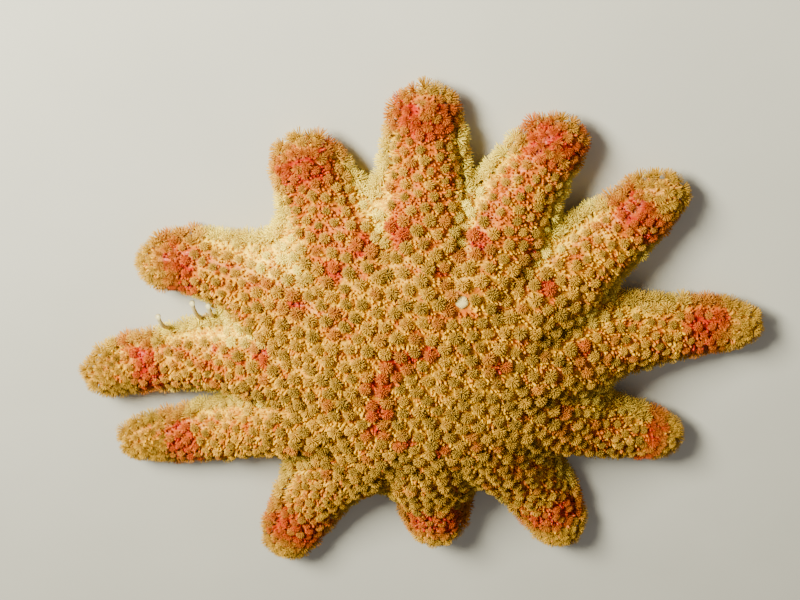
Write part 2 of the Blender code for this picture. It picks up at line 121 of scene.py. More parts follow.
# Coat: spacings, sizes and reach of its parts
DISC_SPACING = 4.25
ARM_SPACING = 3.35
TIP_SPACING = 2.1
ARMS_BEGIN = (48, 70)
TIPS_BEGIN = (0.4, 1.0)
DISC_END = 0.02
TIP_START = 0.74
SIDE_START = 0.35
BRUSH_SIZES = (0.85, 1.12)
MARGIN_SPACING = 2.7
MARGIN_END = 0.97
MARGIN_POINTS = 60
MARGIN_RISE = 0.36
MARGIN_TIP_SIZE = 0.82
MARGIN_CLEARANCE = 2.9
PAPULA_SPACING = 0.74
PAPULA_TRIALS = 90000
UNDER_SPACING = 2.9
RELAX_ROUNDS = 8
RELAX_REACH = 1.28
RELAX_STEP = 0.35

# Brushes: the counts of their spinelets, then the sizes that brush() takes
DISC_BRUSH = (58, 62, 54, 60), 1.5, 1.5, 88, 0.18, 1.08
ARM_BRUSH = (46, 50, 42, 48), 1.45, 1.35, 86, 0.17, 0.92
TIP_BRUSH = (42, 46, 38), 1.0, 2.5, 68, 0.13, 0.8
EDGE_BRUSH = (46, 52, 42), 1.3, 3.9, 62, 0.15, 0.85, 0.9
SIDE_BRUSH = (44, 48, 40), 1.3, 2.7, 68, 0.15, 0.85
UNDER_BRUSH = (12, 14), 0.5, 1.3, 60, 0.17, 0.5

# Tube feet and combs: place across the groove, start from the middle and spacing
FOOT_SHARE = 0.15
FIRST_FOOT = 13.8
FOOT_STAGGER = 0.7
FOOT_SPACING = 2.9
FOOT_LENGTH = 2.2
COMB_SHARE = GROOVE_SHARE + 0.02
FIRST_COMB = 15.0
COMB_SPACING = 3.1
# Long feet over one arm's edge: the arm, then the place along it and the reach of each
LONG_FEET_ARM = 9
LONG_FEET = ((0.21, 15.0), (0.41, 13.0), (0.13, 12.5))

# The OFBake map: half a tuft's patch, the reach laid flat and its share of the map
PATCH = 0.0015
UNWRAP_REACH = 125
UNWRAP_SHARE = 0.46

# Red bands near the tips: distance from the flesh's tip and half length for each arm
BANDS = (
    (8.5, 6.5), (7.0, 6.5), (14.0, 6.5), (17.0, 7.0), (8.0, 3.5), (17.0, 6.5),
    (14.0, 8.0), (17.0, 9.5), (21.0, 5.6), (21.5, 5.8), (11.0, 5.5), (8.0, 5.5),
)
# Red patches on the disc and round its margin: place and radius
PATCHES = (
    (3.3, 17.1, 3.6), (-3.0, 15.0, 2.6), (-8.2, 11.8, 4.0), (-13.9, 3.4, 4.6), (-13.4, -7.5, 4.2),
    (-15.2, -16.9, 3.4), (-5.1, -21.3, 2.9), (6.8, -26.6, 2.5), (25.3, 9.5, 2.7), (-6.3, 55.9, 3.2),
    (18.4, 52.3, 3.4), (-18.1, 51.1, 2.9), (-27.2, 43.1, 3.2), (41.0, 34.7, 2.8), (-52.6, 6.7, 3.1),
    (47.0, -17.0, 2.2), (36.0, 46.0, 2.4), (-41.0, 29.0, 2.3), (7.0, 44.0, 2.2), (54.0, 9.0, 2.3),
)
# Pale webs: the radii between which they come in, and the bearing of the lit side, toward which painted
# light makes the pale marks stronger
WEB_RADII = (49.0, 58.0)
LIT_BEARING = 115


def unit(degrees):
    angle = math.radians(degrees)
    return np.array([math.cos(angle), math.sin(angle)])


def left_of(direction):
    return np.array([-direction[1], direction[0]])


def mix(a, b, share):
    return a + (b - a) * share


def ease(value, low, high):
    share = np.clip((value - low) / (high - low), 0.0, 1.0)
    return share * share * (3 - 2 * share)


def flat_radius(points):
    return np.hypot(points[:, 0], points[:, 1])


def dome(radius):
    return EDGE_HEIGHT + (TOP_HEIGHT - EDGE_HEIGHT) / (1 + (radius / SHOULDER_RADIUS) ** SHOULDER_POWER)


def section_fall(share):
    return 1 - max(0.0, 1 - abs(share) ** SECTION_POWER) ** SECTION_ROUNDING


def groove(share):
    """Depth of the groove under an arm, round-bottomed."""
    if abs(share) >= GROOVE_SHARE:
        return 0.0
    return GROOVE_DEPTH * 0.5 * (1 + math.cos(math.pi * share / GROOVE_SHARE))


def half_sector(index, side):
    here = ARMS[index][0]
    there = ARMS[(index - side) % len(ARMS)][0]
    return math.radians(abs((there - here + 180) % 360 - 180)) / 2


def disc_plan(index, along, share):
    direction = unit(ARMS[index][0])
    across = along * math.tan(half_sector(index, 1 if share >= 0 else -1)) * share
    return direction * along + left_of(direction) * across


def disc_top(index, along, share):
    point = disc_plan(index, along, share)
    valley = WEB_DROP * max(0.0, (along - VALLEY_START) / (DISC_SIDE - VALLEY_START)) ** VALLEY_POWER
    return (*point, dome(math.hypot(*point)) - valley * section_fall(share))


def disc_under(index, along, share):
    point = disc_plan(index, along, share)
    lift = mix(DISC_MIDDLE_LIFT, DISC_RIM_LIFT + UNDER_RAISE * 0.5, along / DISC_SIDE)
    return (*point, lift + groove(share) * ease(along, *GROOVE_RUN_IN))


class ArmShape:
    """Plan curve and cross-sections of one arm. s runs from 0 at the root to 1 at the tip."""

    def __init__(self, index):
        root_deg, tip_deg, reach = ARMS[index]
        self.index = index
        direction = unit(root_deg)
        self.start = direction * DISC_SIDE
        self.end = unit(tip_deg) * reach
        self.length = np.linalg.norm(self.end - self.start)
        self.bend = self.start + direction * (0.5 * self.length)

    def centre(self, s):
        return mix(mix(self.start, self.bend, s), mix(self.bend, self.end, s), s)

    def heading(self, s):
        way = mix(self.bend, self.end, s) - mix(self.start, self.bend, s)
        return way / np.linalg.norm(way)

    def rounding(self, s):
        share = max(0.0, (s - TIP_ROUNDING_START) / (1 - TIP_ROUNDING_START))
        return math.sqrt(max(0.0, 1 - share * share))

    def half_width(self, s, side):
        root = DISC_SIDE * math.tan(half_sector(self.index, side)) - ROOT_INSET
        flare = (root - HALF_WIDTH_BASE) * math.exp(-s / ROOT_FLARE_FADE)
        return mix(HALF_WIDTH_BASE, HALF_WIDTH_TIP, s) + flare

    def lift(self, s):
        return TIP_LIFT * ease(s, TIP_LIFT_START, 1.0)

    def place(self, s, across, height):
        shrink = self.rounding(s)
        centre = self.centre(s)
        middle = FLANK_SHARE * dome(math.hypot(*centre))
        point = centre + left_of(self.heading(s)) * (across * shrink)
        return (*point, mix(middle, height, shrink) + self.lift(s))

    def top(self, s, share):
        across = share * self.half_width(s, 1 if share >= 0 else -1)
        point = self.centre(s) + left_of(self.heading(s)) * across
        crest = dome(math.hypot(*self.centre(s)))
        drop = mix(WEB_DROP, crest * (1 - FLANK_SHARE), ease(s, 0.0, ROOT_END))
        return self.place(s, across, dome(math.hypot(*point)) - drop * section_fall(share))

    def under(self, s, share):
        width = self.half_width(s, 1 if share >= 0 else -1)
        rise = UNDER_EDGE_HEIGHT * ease(abs(share), *UNDER_EDGE)
        reach = share * (1 - UNDER_EDGE_TUCK * ease(abs(share), *UNDER_EDGE))
        return self.place(s, reach * width, UNDER_RAISE + rise + groove(share))


SHAPES = [ArmShape(index) for index in range(len(ARMS))]
LENGTHS = np.array([shape.length for shape in SHAPES])
HALF_SECTORS = np.array([[half_sector(k, side) for side in (-1, 1)] for k in range(len(ARMS))])


def new_object(name, mesh):
    made = bpy.data.objects.new(name, mesh)
    bpy.context.scene.collection.objects.link(made)
    return made


def world(points):
    return np.asarray(points, float) * MM + OWN_MIDDLE


def band_faces(a, b, count):
    """Faces between ring a and ring b, each of so many points."""
    pairs = [(i, (i + 1) % count) for i in range(count)]
    return [(a * count + i, a * count + j, b * count + j, b * count + i) for i, j in pairs]


def ring_mesh(rings, caps):
    """Vertices and faces of a closed form from rings of points and an end point for each end."""
    count = len(rings[0])
    verts = [point for ring in rings for point in ring]
    faces = []
    for k in range(len(rings) - 1):
        faces += band_faces(k, k + 1, count)
    for base, cap in ((0, caps[0]), ((len(rings) - 1) * count, caps[1])):
        verts.append(cap)
        for i in range(count):
            faces.append((base + i, base + (i + 1) % count, len(verts) - 1))
    return verts, faces


def round_rings(shares, sides, surface):
    """Rings of points from a function that gives radius and height at a share and an angle."""
    rings = []
    for share in shares:
        ring = []
        for i in range(sides):
            angle = 2 * math.pi * i / sides
            radius, height = surface(share, angle)
            ring.append((radius * math.cos(angle), radius * math.sin(angle), height))
        rings.append(ring)
    return rings


# Shares across an arm's section, from one edge to just short of the other
TOP_SHARES = [math.sin(math.radians(a)) for a in range(-90, 90, 10)]
UNDER_SHARES = [k / 12 for k in range(-12, 12)]


def disc_form():
    """The disc: its top, its underside and the recess for the mouth, as one closed form."""
    count = len(TOP_SHARES)
    matched = [UNDER_SHARES[int(k * len(UNDER_SHARES) / count)] for k in range(count)]

    def around(surface, level, shares):
        order = reversed(range(len(ARMS)))
        return [surface(index, level, share) for index in order for share in shares]

    rings = [around(disc_top, level, TOP_SHARES) for level in np.linspace(*DISC_TOP_RINGS)]
    rings += [around(disc_under, level, matched) for level in np.linspace(*DISC_UNDER_RINGS)]
    ceiling = DISC_MIDDLE_LIFT + MOUTH_RECESS_DEPTH
    for height in (DISC_MIDDLE_LIFT + RECESS_EDGE, ceiling):
        rings.append([
            (*(np.array(point[:2]) / math.hypot(*point[:2]) * MOUTH_RECESS_RADIUS), height)
            for point in rings[-1]
        ])
    return ring_mesh(rings, ((0, 0, dome(0)), (0, 0, ceiling)))


def arm_form(shape):
    """One arm as a closed form that reaches a little way into the disc."""
    rings = []
    for s in 1 - (1 - np.linspace(*ARM_RINGS)) ** ARM_RING_POWER:
        ring = [shape.top(s, share) for share in (*TOP_SHARES, 1.0)]
        rings.append(ring + [shape.under(s, share) for share in (*UNDER_SHARES, 1.0)][::-1])
    inward = np.array([*(-unit(ARMS[shape.index][0]) * ROOT_OVERLAP), 0])
    first = np.array(rings[0])
    middle = first.mean(0)
    start = middle + (first - middle) * ROOT_SHRINK + inward
    return ring_mesh([start.tolist(), *rings], (middle + inward, shape.place(1.0, 0, 0)))


def skin_base():
    """The mesh of disc and arms, fused into one smooth closed surface."""
    verts, faces = [], []
    for form_verts, form_faces in [disc_form()] + [arm_form(shape) for shape in SHAPES]:
        offset = len(verts)
        verts += [tuple(v) for v in form_verts]
        faces += [tuple(i + offset for i in face) for face in form_faces]
    mesh = bpy.data.meshes.new("rough")
    mesh.from_pydata(verts, [], faces)
    rough = new_object("rough", mesh)
    remesh = rough.modifiers.new("remesh", "REMESH")
    remesh.mode = "VOXEL"
    remesh.voxel_size = VOXEL
    smooth = rough.modifiers.new("smooth", "SMOOTH")
    smooth.factor = 0.5
    smooth.iterations = SMOOTHING_STEPS
    bpy.context.view_layer.update()
    fused = rough.evaluated_get(bpy.context.evaluated_depsgraph_get())
    done = bpy.data.meshes.new_from_object(fused)
    bpy.data.objects.remove(rough)
    return done


def mesh_corners(mesh):
    points, normals = np.zeros((2, len(mesh.vertices) * 3))
    mesh.vertices.foreach_get("co", points)
    mesh.vertex_normals.foreach_get("vector", normals)
    return points.reshape(-1, 3), normals.reshape(-1, 3)


# Directions and phases of the summed waves of the noise, the same for skin and coat
WAVES = [(rng.normal(size=3), rng.uniform(0, 2 * math.pi)) for _ in range(9)]


def waves(points, wavelength):
    """Smooth noise from -1 to 1 over points in millimetres."""
    total = np.zeros(len(points))
    for k, (way, phase) in enumerate(WAVES):
        direction = way / np.linalg.norm(way)
        bent = points + 0.35 * wavelength * np.sin(points[:, [1, 2, 0]] * (2.2 / wavelength) + phase)
        total += np.sin(bent @ direction * (2 * math.pi / (wavelength * (0.7 + 0.09 * k))) + phase)
    return np.clip(total / 4.2, -1, 1)


def arm_coordinates(points):
    """For each point: nearest arm, share along it from its root, and offset across it."""
    best = np.full(len(points), 1e9)
    arm = np.zeros(len(points), int)
    along = np.zeros(len(points))
    across = np.zeros(len(points))
    for shape in SHAPES:
        for s in np.linspace(-1.15, 1.0, 44):
            centre = shape.centre(s) if s > 0 else shape.start * (1 + s * 0.85)
            heading = shape.heading(max(s, 0.0))
            away = points[:, :2] - centre
            distance = flat_radius(away)
            closer = distance < best
            best = np.where(closer, distance, best)
            arm = np.where(closer, shape.index, arm)
            along = np.where(closer, s, along)
            across = np.where(closer, away @ left_of(heading), across)
    return arm, along, across


def srgb(red, green, blue):
    """A linear colour from one read off in sRGB."""
    value = np.array([red, green, blue]) / 255
    return np.where(value <= 0.04045, value / 12.92, ((value + 0.055) / 1.055) ** 2.4)


SKIN_ORANGE = srgb(184, 94, 0)
SKIN_YELLOW = srgb(204, 153, 0)
SKIN_CREAM = srgb(255, 220, 30)
SKIN_RED = srgb(164, 30, 0)
SKIN_TIP = srgb(190, 130, 50)
SKIN_UNDER = srgb(216, 174, 96)
BRUSH_TAN = srgb(184, 132, 32)
BRUSH_BROWN = srgb(106, 77, 22)
BRUSH_CREAM = srgb(255, 232, 92)
BRUSH_RED = srgb(178, 52, 0)
BRUSH_TIP_END = srgb(190, 146, 44)
BRUSH_POINT = srgb(222, 172, 44)
PAPULA_YELLOW = srgb(222, 166, 0)
UNDER_TAN = srgb(214, 172, 112)
FOOT_TAN = srgb(230, 190, 120)
FOOT_PALE = srgb(242, 214, 152)
LONG_FOOT_TAN = srgb(180, 158, 104)
LONG_FOOT_PALE = srgb(196, 184, 136)
COMB_PALE = srgb(238, 214, 160)
JAW_PALE = srgb(240, 218, 168)
LIP_RED = srgb(190, 92, 52)
LIP_PALE = srgb(240, 200, 140)
SIEVE_BROWN = srgb(136, 108, 54)
SIEVE_PALE = srgb(204, 184, 122)
FLOOR_GREY = (0.48, 0.475, 0.47, 1)


def red_marking(points, arm, along, across, patchy, fine):
    """The bands behind the tips, the patches on the disc and faint speckles, from 0 to 1."""
    from_tip = (1 - along) * LENGTHS[arm]
    band_at, band_half = np.array(BANDS)[arm].T
    off_band = np.abs(from_tip - band_at - 1.5 * patchy)
    band = 1 - ease(off_band, 0.55 * band_half, 1.35 * band_half)
    band *= np.clip(0.9 + 0.5 * fine, 0.3, 1.0) * (1 - 0.4 * ease(np.abs(across), 6.0, 11.0))
    band *= ease(along, 0.0, 0.2)
    spots = np.zeros(len(points))
    for x, y, size in PATCHES:
        away = flat_radius(points[:, :2] - (x, y)) + 0.9 * fine + 0.5 * patchy
        spot = (1 - ease(away, 0.7 * size, 1.6 * size)) * np.clip(0.95 + 0.4 * fine, 0.5, 1.0)
        spots = np.maximum(spots, spot)
    speckle = 0.5 * ease(waves(points + 90, 6.5), 0.45, 0.9) * ease(flat_radius(points), 10.0, 30.0)
    speckle *= 1 - ease(along, 0.3, 0.8)
    return np.clip(np.maximum.reduce([band, spots, speckle]), 0, 1)


def cream_marking(points, arm, along, across, fine):
    """The pale webs and the pale edges along the arms, from 0 to 1, made stronger on the lit side as
    painted light.
    """
    bearing = np.arctan2(points[:, 1], points[:, 0])
    root = np.radians(np.array([bearings[0] for bearings in ARMS]))[arm]
    turn = (bearing - root + math.pi) % (2 * math.pi) - math.pi
    limit = np.where(turn > 0, HALF_SECTORS[arm, 1], HALF_SECTORS[arm, 0])
    web = ease(np.abs(turn) / limit, 0.6, 1.0) * ease(flat_radius(points), *WEB_RADII)
    web *= 1 - ease(along, 0.2, 0.6)
    beside = np.abs(across) / mix(HALF_WIDTH_BASE, HALF_WIDTH_TIP, np.clip(along, 0, 1))
    edge = 0.8 * ease(beside, 0.78, 1.0) * ease(along, -0.12, 0.05) * (1 - ease(along, 0.6, 0.95))
    # Painted light: the real pale webs and edges are made stronger toward the lit side and weaker away
    # from it
    painted_lit_side = 0.45 + 0.55 * ease(np.cos(bearing - math.radians(LIT_BEARING)), -0.4, 0.5)
    return np.clip(np.maximum(web * 1.35, edge) * painted_lit_side * (0.9 + 0.25 * fine), 0, 1)


def markings(points):
    """Weights of red, cream and pale tip at points, from 0 to 1, with the coarse and fine noise."""
    arm, along, across = arm_coordinates(points)
    patchy = waves(points, 9.0)
    fine = waves(points[:, [2, 0, 1]] + 40, 5.0)
    red = red_marking(points, arm, along, across, patchy, fine)
    cream = cream_marking(points, arm, along, across, fine)
    tip = ease((along - 1) * LENGTHS[arm], -12.0, -5.0) * (0.8 + 0.2 * fine)
    return red, cream, np.clip(tip, 0, 1), patchy, fine


def blend_colours(base, layers):
    colour = base
    for weight, shade in layers:
        colour = mix(colour, shade, np.clip(weight, 0, 1)[:, None])
    return colour


def skin_colours(points, normals):
    red, cream, tip, patchy, fine = markings(points)
    radius = flat_radius(points)
    upper_arms = ease(points[:, 1] / np.maximum(radius, 1.0), 0.75, 0.92) * ease(radius, 46, 60)
    # Painted light: the left arms, on the lit side, are made yellower and so paler than the rest
    lit_left_arms = ease(-points[:, 0], 15, 60)
    yellow = 0.46 + 0.65 * fine + 0.45 * patchy + 0.38 * (1 - ease(radius, 35, 62))
    yellow = np.clip(yellow - 0.45 * upper_arms + 0.1 * lit_left_arms, 0, 1)
    under = ease(-normals[:, 2], 0.1, 0.7) * ease(-points[:, 2], -9.0, -5.0)
    return blend_colours(SKIN_ORANGE, [
        (yellow * 0.9, SKIN_YELLOW), (tip * 0.7, SKIN_TIP), (cream, SKIN_CREAM), (red, SKIN_RED),
        (under, SKIN_UNDER),
    ])


def brush_colours(roots, varied):
    """The colours of each brush's foot and points, from the markings there and a random draw."""
    red, cream, tip, patchy, _ = markings(roots)
    dark = 0.48 + 0.4 * varied - 0.2 * patchy + 0.26 * (1 - ease(flat_radius(roots), 30, 70))
    base = mix(BRUSH_TAN, BRUSH_BROWN, np.clip(dark, 0, 1)[:, None])
    colour = blend_colours(base, [
        (tip * 0.8, BRUSH_TIP_END), (cream * 0.95, BRUSH_CREAM), (red * 0.9, BRUSH_RED),
    ])
    pale = (0.36 * (1 - 0.75 * red))[:, None]
    return colour * 0.9, np.maximum(colour, mix(colour, BRUSH_POINT, pale))


def evenly(foot, points, count):
    """The same two colours for each of a number of roots."""
    return np.tile(foot, (count, 1)), np.tile(points, (count, 1))


def paint(mesh, colours):
    layer = mesh.color_attributes.new("Markings", "FLOAT_COLOR", "POINT")
    filled = np.ones((len(colours), 4), np.float32)
    filled[:, :3] = colours
    layer.data.foreach_set("color", filled.ravel())


def array_mesh(name, verts, faces):
    """A mesh from arrays of corners and triangles."""
    mesh = bpy.data.meshes.new(name)
    mesh.vertices.add(len(verts))
    mesh.vertices.foreach_set("co", np.asarray(verts, np.float32).ravel())
    mesh.loops.add(faces.size)
    mesh.loops.foreach_set("vertex_index", faces.astype(np.int32).ravel())
    mesh.polygons.add(len(faces))
    mesh.polygons.foreach_set("loop_start", np.arange(0, faces.size, 3, dtype=np.int32))
    mesh.update(calc_edges=True)
    mesh.validate()
    mesh.shade_smooth()
    return mesh


def list_mesh(name, verts, faces):
    mesh = bpy.data.meshes.new(name)
    mesh.from_pydata([tuple(p) for p in world(verts)], [], faces)
    mesh.update()
    mesh.shade_smooth()
    return mesh


def finished(mesh, colours, finish):
    """The object of a mesh with its paint and material."""
    paint(mesh, colours)
    mesh.materials.append(finish)
    return new_object(mesh.name, mesh)


def fix_normals(made):
    bm = bmesh.new()
    bm.from_mesh(made.data)
    bmesh.ops.recalc_face_normals(bm, faces=bm.faces)
    bm.to_mesh(made.data)
    bm.free()


def scatter(candidates, spacing, taken, clearance):
    """Picks candidates in random order, each clear of the others and of the points taken before."""
    cell = max(float(np.max(spacing)), float(np.max(clearance)))
    grid = {}

    def near(point):
        x, y, z = (point // cell).astype(int)
        for dx, dy, dz in itertools.product((-1, 0, 1), repeat=3):
            yield from grid.get((x + dx, y + dy, z + dz), ())

    for point, clear in zip(taken, np.broadcast_to(clearance, len(taken))):
        grid.setdefault(tuple((point // cell).astype(int)), []).append((*point, clear))
    chosen = []
    for k in rng.permutation(len(candidates)):
        point = candidates[k]
        own = spacing[k]
        clear = all(
            (point[0] - x) ** 2 + (point[1] - y) ** 2 + (point[2] - z) ** 2 >= (r or own) ** 2
            for x, y, z, r in near(point)
        )
        if clear:
            grid.setdefault(tuple((point // cell).astype(int)), []).append((*point, 0.0))
            chosen.append(k)
    return np.array(chosen)


def relaxed(points, spacing, fixed, fixed_clearance):
    """Points on the skin pushed apart until they lie evenly, and the skin's normals there."""
    points = points.copy()
    normals = np.zeros_like(points)
    for _ in range(RELAX_ROUNDS):
        tree = KDTree(len(points) + len(fixed))
        for k, point in enumerate(np.concatenate([points, fixed])):
            tree.insert(point, k)
        tree.balance()
        moved = points.copy()
        for k, point in enumerate(points):
            for near, index, distance in tree.find_n(point, 7):
                own = index < len(points)
                reach = RELAX_REACH * spacing[k] if own else fixed_clearance[index - len(points)]
                if index != k and 1e-6 < distance < reach:
                    push = (point - np.array(near)) / distance
                    moved[k] += push * (reach - distance) * RELAX_STEP
        for k, point in enumerate(moved):
            spot, normal, _, _ = SKIN_TREE.find_nearest(Vector(point))
            points[k], normals[k] = spot, normal
    return points, normals


def tube(path, radii, sides, tint):
    """A closed tapered tube along a path: corners, triangles and the tint of each corner."""
    path = np.asarray(path, float)
    way = path[-1] - path[0]
    way = way / np.linalg.norm(way)
    helper = np.array([1.0, 0, 0]) if abs(way[0]) < 0.8 else np.array([0, 1.0, 0])
    first = np.cross(way, helper)
    first /= np.linalg.norm(first)
    second = np.cross(way, first)
    verts, faces, tints = [], [], []
    for point, radius, shade in zip(path[:-1], radii, tint):
        for i in range(sides):
            angle = 2 * math.pi * i / sides
            verts.append(point + radius * (math.cos(angle) * first + math.sin(angle) * second))
            tints.append(shade)
    verts.append(path[-1])
    tints.append(tint[-1])
    last = len(verts) - 1
    for k in range(len(path) - 2):
        for a, b, c, d in band_faces(k, k + 1, sides):
            faces += [(a, b, c), (a, c, d)]
    top = (len(path) - 2) * sides
    for i in range(sides):
        faces.append((top + i, top + (i + 1) % sides, last))
    return np.array(verts), np.array(faces), np.array(tints)


def joined(parts):
    numbered, offset = [], 0
    for verts, faces, tints in parts:
        numbered.append((verts, faces + offset, tints))
        offset += len(verts)
    return [np.concatenate(column) for column in zip(*numbered)]


def brush(spines, stalk, length, splay, thickness, cap, flat=1.0):
    """A paxilla: a stalk and round cap with spinelets, upright in the middle and splayed at the rim."""
    heights = (-0.7, 0.3 * stalk, stalk - 0.5 * cap, stalk, stalk + 0.6 * cap, stalk + 0.9 * cap)
    parts = [tube(
        [(0, 0, height) for height in heights], [0.95, 0.62, 0.85 * cap, cap, 0.75 * cap], 8,
        [0.0, 0.0, 0.1, 0.2, 0.25, 0.3],
    )]
    for k in range(spines):
        share = math.sqrt((k + 0.5) / spines)
        polar = math.radians(splay) * share * (1 + 0.07 * rng.normal())
        around = k * math.radians(137.508) + 0.1 * rng.normal()
        out = np.array([math.cos(around), math.sin(around) * flat, 0])
        way = out * math.sin(polar) + np.array([0, 0, math.cos(polar)])
        start = np.array([0, 0, stalk]) + way * 0.7 * cap
        reach = length * (1 + 0.06 * rng.normal())
        path = [start, start + way * 0.84 * reach, start + way * reach]
        parts.append(tube(path, [0.85 * thickness, thickness], 3, [0.15, 0.85, 1.0]))
    return joined(parts)


def brushes(counts, *sizes):
    return [brush(count, *sizes) for count in counts]


def papula():
    """A soft gill finger."""
    lean = rng.normal(size=2) * 0.2
    height = rng.uniform(1.2, 2.2)
    path = [(lean[0] * z, lean[1] * z, z) for z in (-0.2, 0.78 * height, height)]
    return tube(path, [0.42, 0.4], 5, [0.0, 0.85, 1.0])


def frames(directions, twist):
    """Rotation arrays that turn +Z to each direction, with a twist about it."""
    z = directions / np.linalg.norm(directions, axis=1)[:, None]
    helper = np.where(np.abs(z[:, 2:3]) < 0.9, [[0, 0, 1.0]], [[1.0, 0, 0]])
    x = np.cross(helper, z)
    x /= np.linalg.norm(x, axis=1)[:, None]
    y = np.cross(z, x)
    cos, sin = np.cos(twist)[:, None], np.sin(twist)[:, None]
    return np.stack([cos * x + sin * y, cos * y - sin * x, z], axis=2)


def unwrap(points, arms_apart):
    """Place of each root on the skin laid flat: by arc length from the middle, and round the flanks."""
    radius = flat_radius(points)
    steps = np.linspace(0, UNWRAP_REACH, 2 * UNWRAP_REACH + 1)
    slopes = np.gradient(dome(steps), steps)
    arcs = np.concatenate([[0], np.cumsum(np.sqrt(1 + slopes[1:] ** 2) * np.diff(steps))])
    flat = points[:, :2] * (np.interp(radius, steps, arcs) / np.maximum(radius, 1e-6))[:, None]
    if arms_apart:
        arm, _, across = arm_coordinates(points)
        side = np.sign(across)[:, None]
        headings = np.array([left_of(SHAPES[k].heading(0.5)) for k in arm])
        drop = np.maximum(dome(radius) - points[:, 2], 0)[:, None]
        flat = flat + headings * side * drop
    return 0.5 + flat / arcs[-1] * UNWRAP_SHARE


def unwrap_under(points):
    return 0.5 + points[:, :2] / UNWRAP_REACH * UNWRAP_SHARE


def plant(name, templates, stand, colours, finish, unwrapped, twist=None):
    """One piece from many copies of a few templates.

    stand holds each copy's root, direction and size, and colours the shades of its foot and points."""
    roots, directions, sizes = stand
    foot_colours, point_colours = colours
    kinds = rng.integers(0, len(templates), len(roots))
    turns = rng.uniform(0, 2 * math.pi, len(roots)) if twist is None else twist
    rotations = frames(directions, turns)
    parts, offset = [], 0
    for kind, (verts, faces, tints) in enumerate(templates):
        chosen = np.nonzero(kinds == kind)[0]
        placed = np.einsum("nij,vj->nvi", rotations[chosen], verts) * sizes[chosen][:, None, None]
        placed += roots[chosen][:, None, :]
        shade = np.clip(tints, 0, 1)[None, :, None] ** 1.3
        shades = mix(foot_colours[chosen][:, None, :], point_colours[chosen][:, None, :], shade)
        span = np.abs(verts[:, :2]).max()
        patch = verts[None, :, :2] / span * PATCH + verts[None, :, 2:3] / 40 * PATCH
        uvs = unwrapped[chosen][:, None, :] + patch
        count = len(verts)
        numbering = offset + np.arange(len(chosen))[:, None, None] * count
        parts.append((
            placed.reshape(-1, 3), (faces[None] + numbering).reshape(-1, 3),
            np.broadcast_to(shades, placed.shape).reshape(-1, 3), uvs.reshape(-1, 2),
        ))
        offset += len(chosen) * count
    verts, faces, shades, uvs = [np.concatenate(column) for column in zip(*parts)]
    mesh = array_mesh(name, world(verts), faces)
    paint(mesh, shades)
    uv_layer = mesh.uv_layers.new(name="OFBake")
    uv_layer.data.foreach_set("uv", uvs[faces.ravel()].astype(np.float32).ravel())
    mesh.materials.append(finish)
    made = new_object(name, mesh)
    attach(made, "root")


class Nodes:
    """Short calls for building a material's node tree."""

    def __init__(self, name):
        self.material = bpy.data.materials.new(name)
        self.material.use_nodes = True
        self.tree = self.material.node_tree
        self.shader = self.tree.nodes["Principled BSDF"]

    def add(self, kind, **settings):
        node = self.tree.nodes.new(kind)
        for key, value in settings.items():
            setattr(node, key, value)
        return node

    def link(self, out, into):
        self.tree.links.new(out, into)

    def placed(self, node, scale):
        """A texture node on the object's own coordinates."""
        node.inputs["Scale"].default_value = scale
        coordinates = self.add("ShaderNodeTexCoord")
        self.link(coordinates.outputs["Object"], node.inputs["Vector"])
        return node.outputs

    def noise(self, scale, detail=3.0):
        node = self.add("ShaderNodeTexNoise")
        node.inputs["Detail"].default_value = detail
        return self.placed(node, scale)["Fac"]

    def cells(self, scale):
        return self.placed(self.add("ShaderNodeTexVoronoi"), scale)["Distance"]

    def spread(self, noise, low, high):
        """The middle of a noise's range, stretched from low to high."""
        node = self.add("ShaderNodeMapRange")
        for key, number in (("From Min", 0.3), ("From Max", 0.7), ("To Min", low), ("To Max", high)):
            node.inputs[key].default_value = number
        self.link(noise, node.inputs["Value"])
        return node.outputs["Result"]

    def base_colour(self, light):
        """The socket of the base colour, which a texture lightens and darkens."""
        node = self.add("ShaderNodeMix", data_type="RGBA", blend_type="MULTIPLY")
        node.inputs["Factor"].default_value = 1.0
        grey = self.add("ShaderNodeCombineColor")
        for channel in ("Red", "Green", "Blue"):
            self.link(light, grey.inputs[channel])
        self.link(grey.outputs["Color"], node.inputs[7])
        self.link(node.outputs[2], self.shader.inputs["Base Color"])
        return node.inputs[6]

    def markings(self, scale, detail, low, high):
        attribute = self.add("ShaderNodeVertexColor", layer_name="Markings")
        light = self.spread(self.noise(scale, detail), low, high)
        self.link(attribute.outputs["Color"], self.base_colour(light))

    def bump(self, height, strength, distance):
        node = self.add("ShaderNodeBump")
        node.inputs["Strength"].default_value = strength
        node.inputs["Distance"].default_value = distance
        self.link(height, node.inputs["Height"])
        self.link(node.outputs["Normal"], self.shader.inputs["Normal"])

    def roughness(self, scale, low, high):
        self.link(self.spread(self.noise(scale), low, high), self.shader.inputs["Roughness"])


def skin_material():
    made = Nodes("sunstar_skin")
    made.markings(900, 4, 0.78, 1.18)
    made.roughness(500, 0.36, 0.55)
    made.bump(made.cells(1100), 0.5, 0.0004)
    made.shader.inputs["Specular IOR Level"].default_value = 0.25
    made.shader.inputs["Subsurface Weight"].default_value = 0.05
    made.shader.inputs["Subsurface Radius"].default_value = (0.002, 0.0012, 0.0005)
    return made.material


def brush_material():
    made = Nodes("spinelets")
    made.markings(1600, 3, 0.75, 1.2)
    made.roughness(900, 0.45, 0.68)
    made.bump(made.noise(4000, 2), 0.25, 0.0001)
    made.shader.inputs["Specular IOR Level"].default_value = 0.2
    return made.material


def soft_material(name, rough_low, rough_high):
    made = Nodes(name)
    made.markings(1500, 3, 0.85, 1.12)
    made.roughness(900, rough_low, rough_high)
    made.bump(made.noise(2600, 2), 0.2, 0.0001)
    made.shader.inputs["Specular IOR Level"].default_value = 0.25
    made.shader.inputs["Subsurface Weight"].default_value = 0.1
    made.shader.inputs["Subsurface Radius"].default_value = (0.002, 0.001, 0.0005)
    return made.material


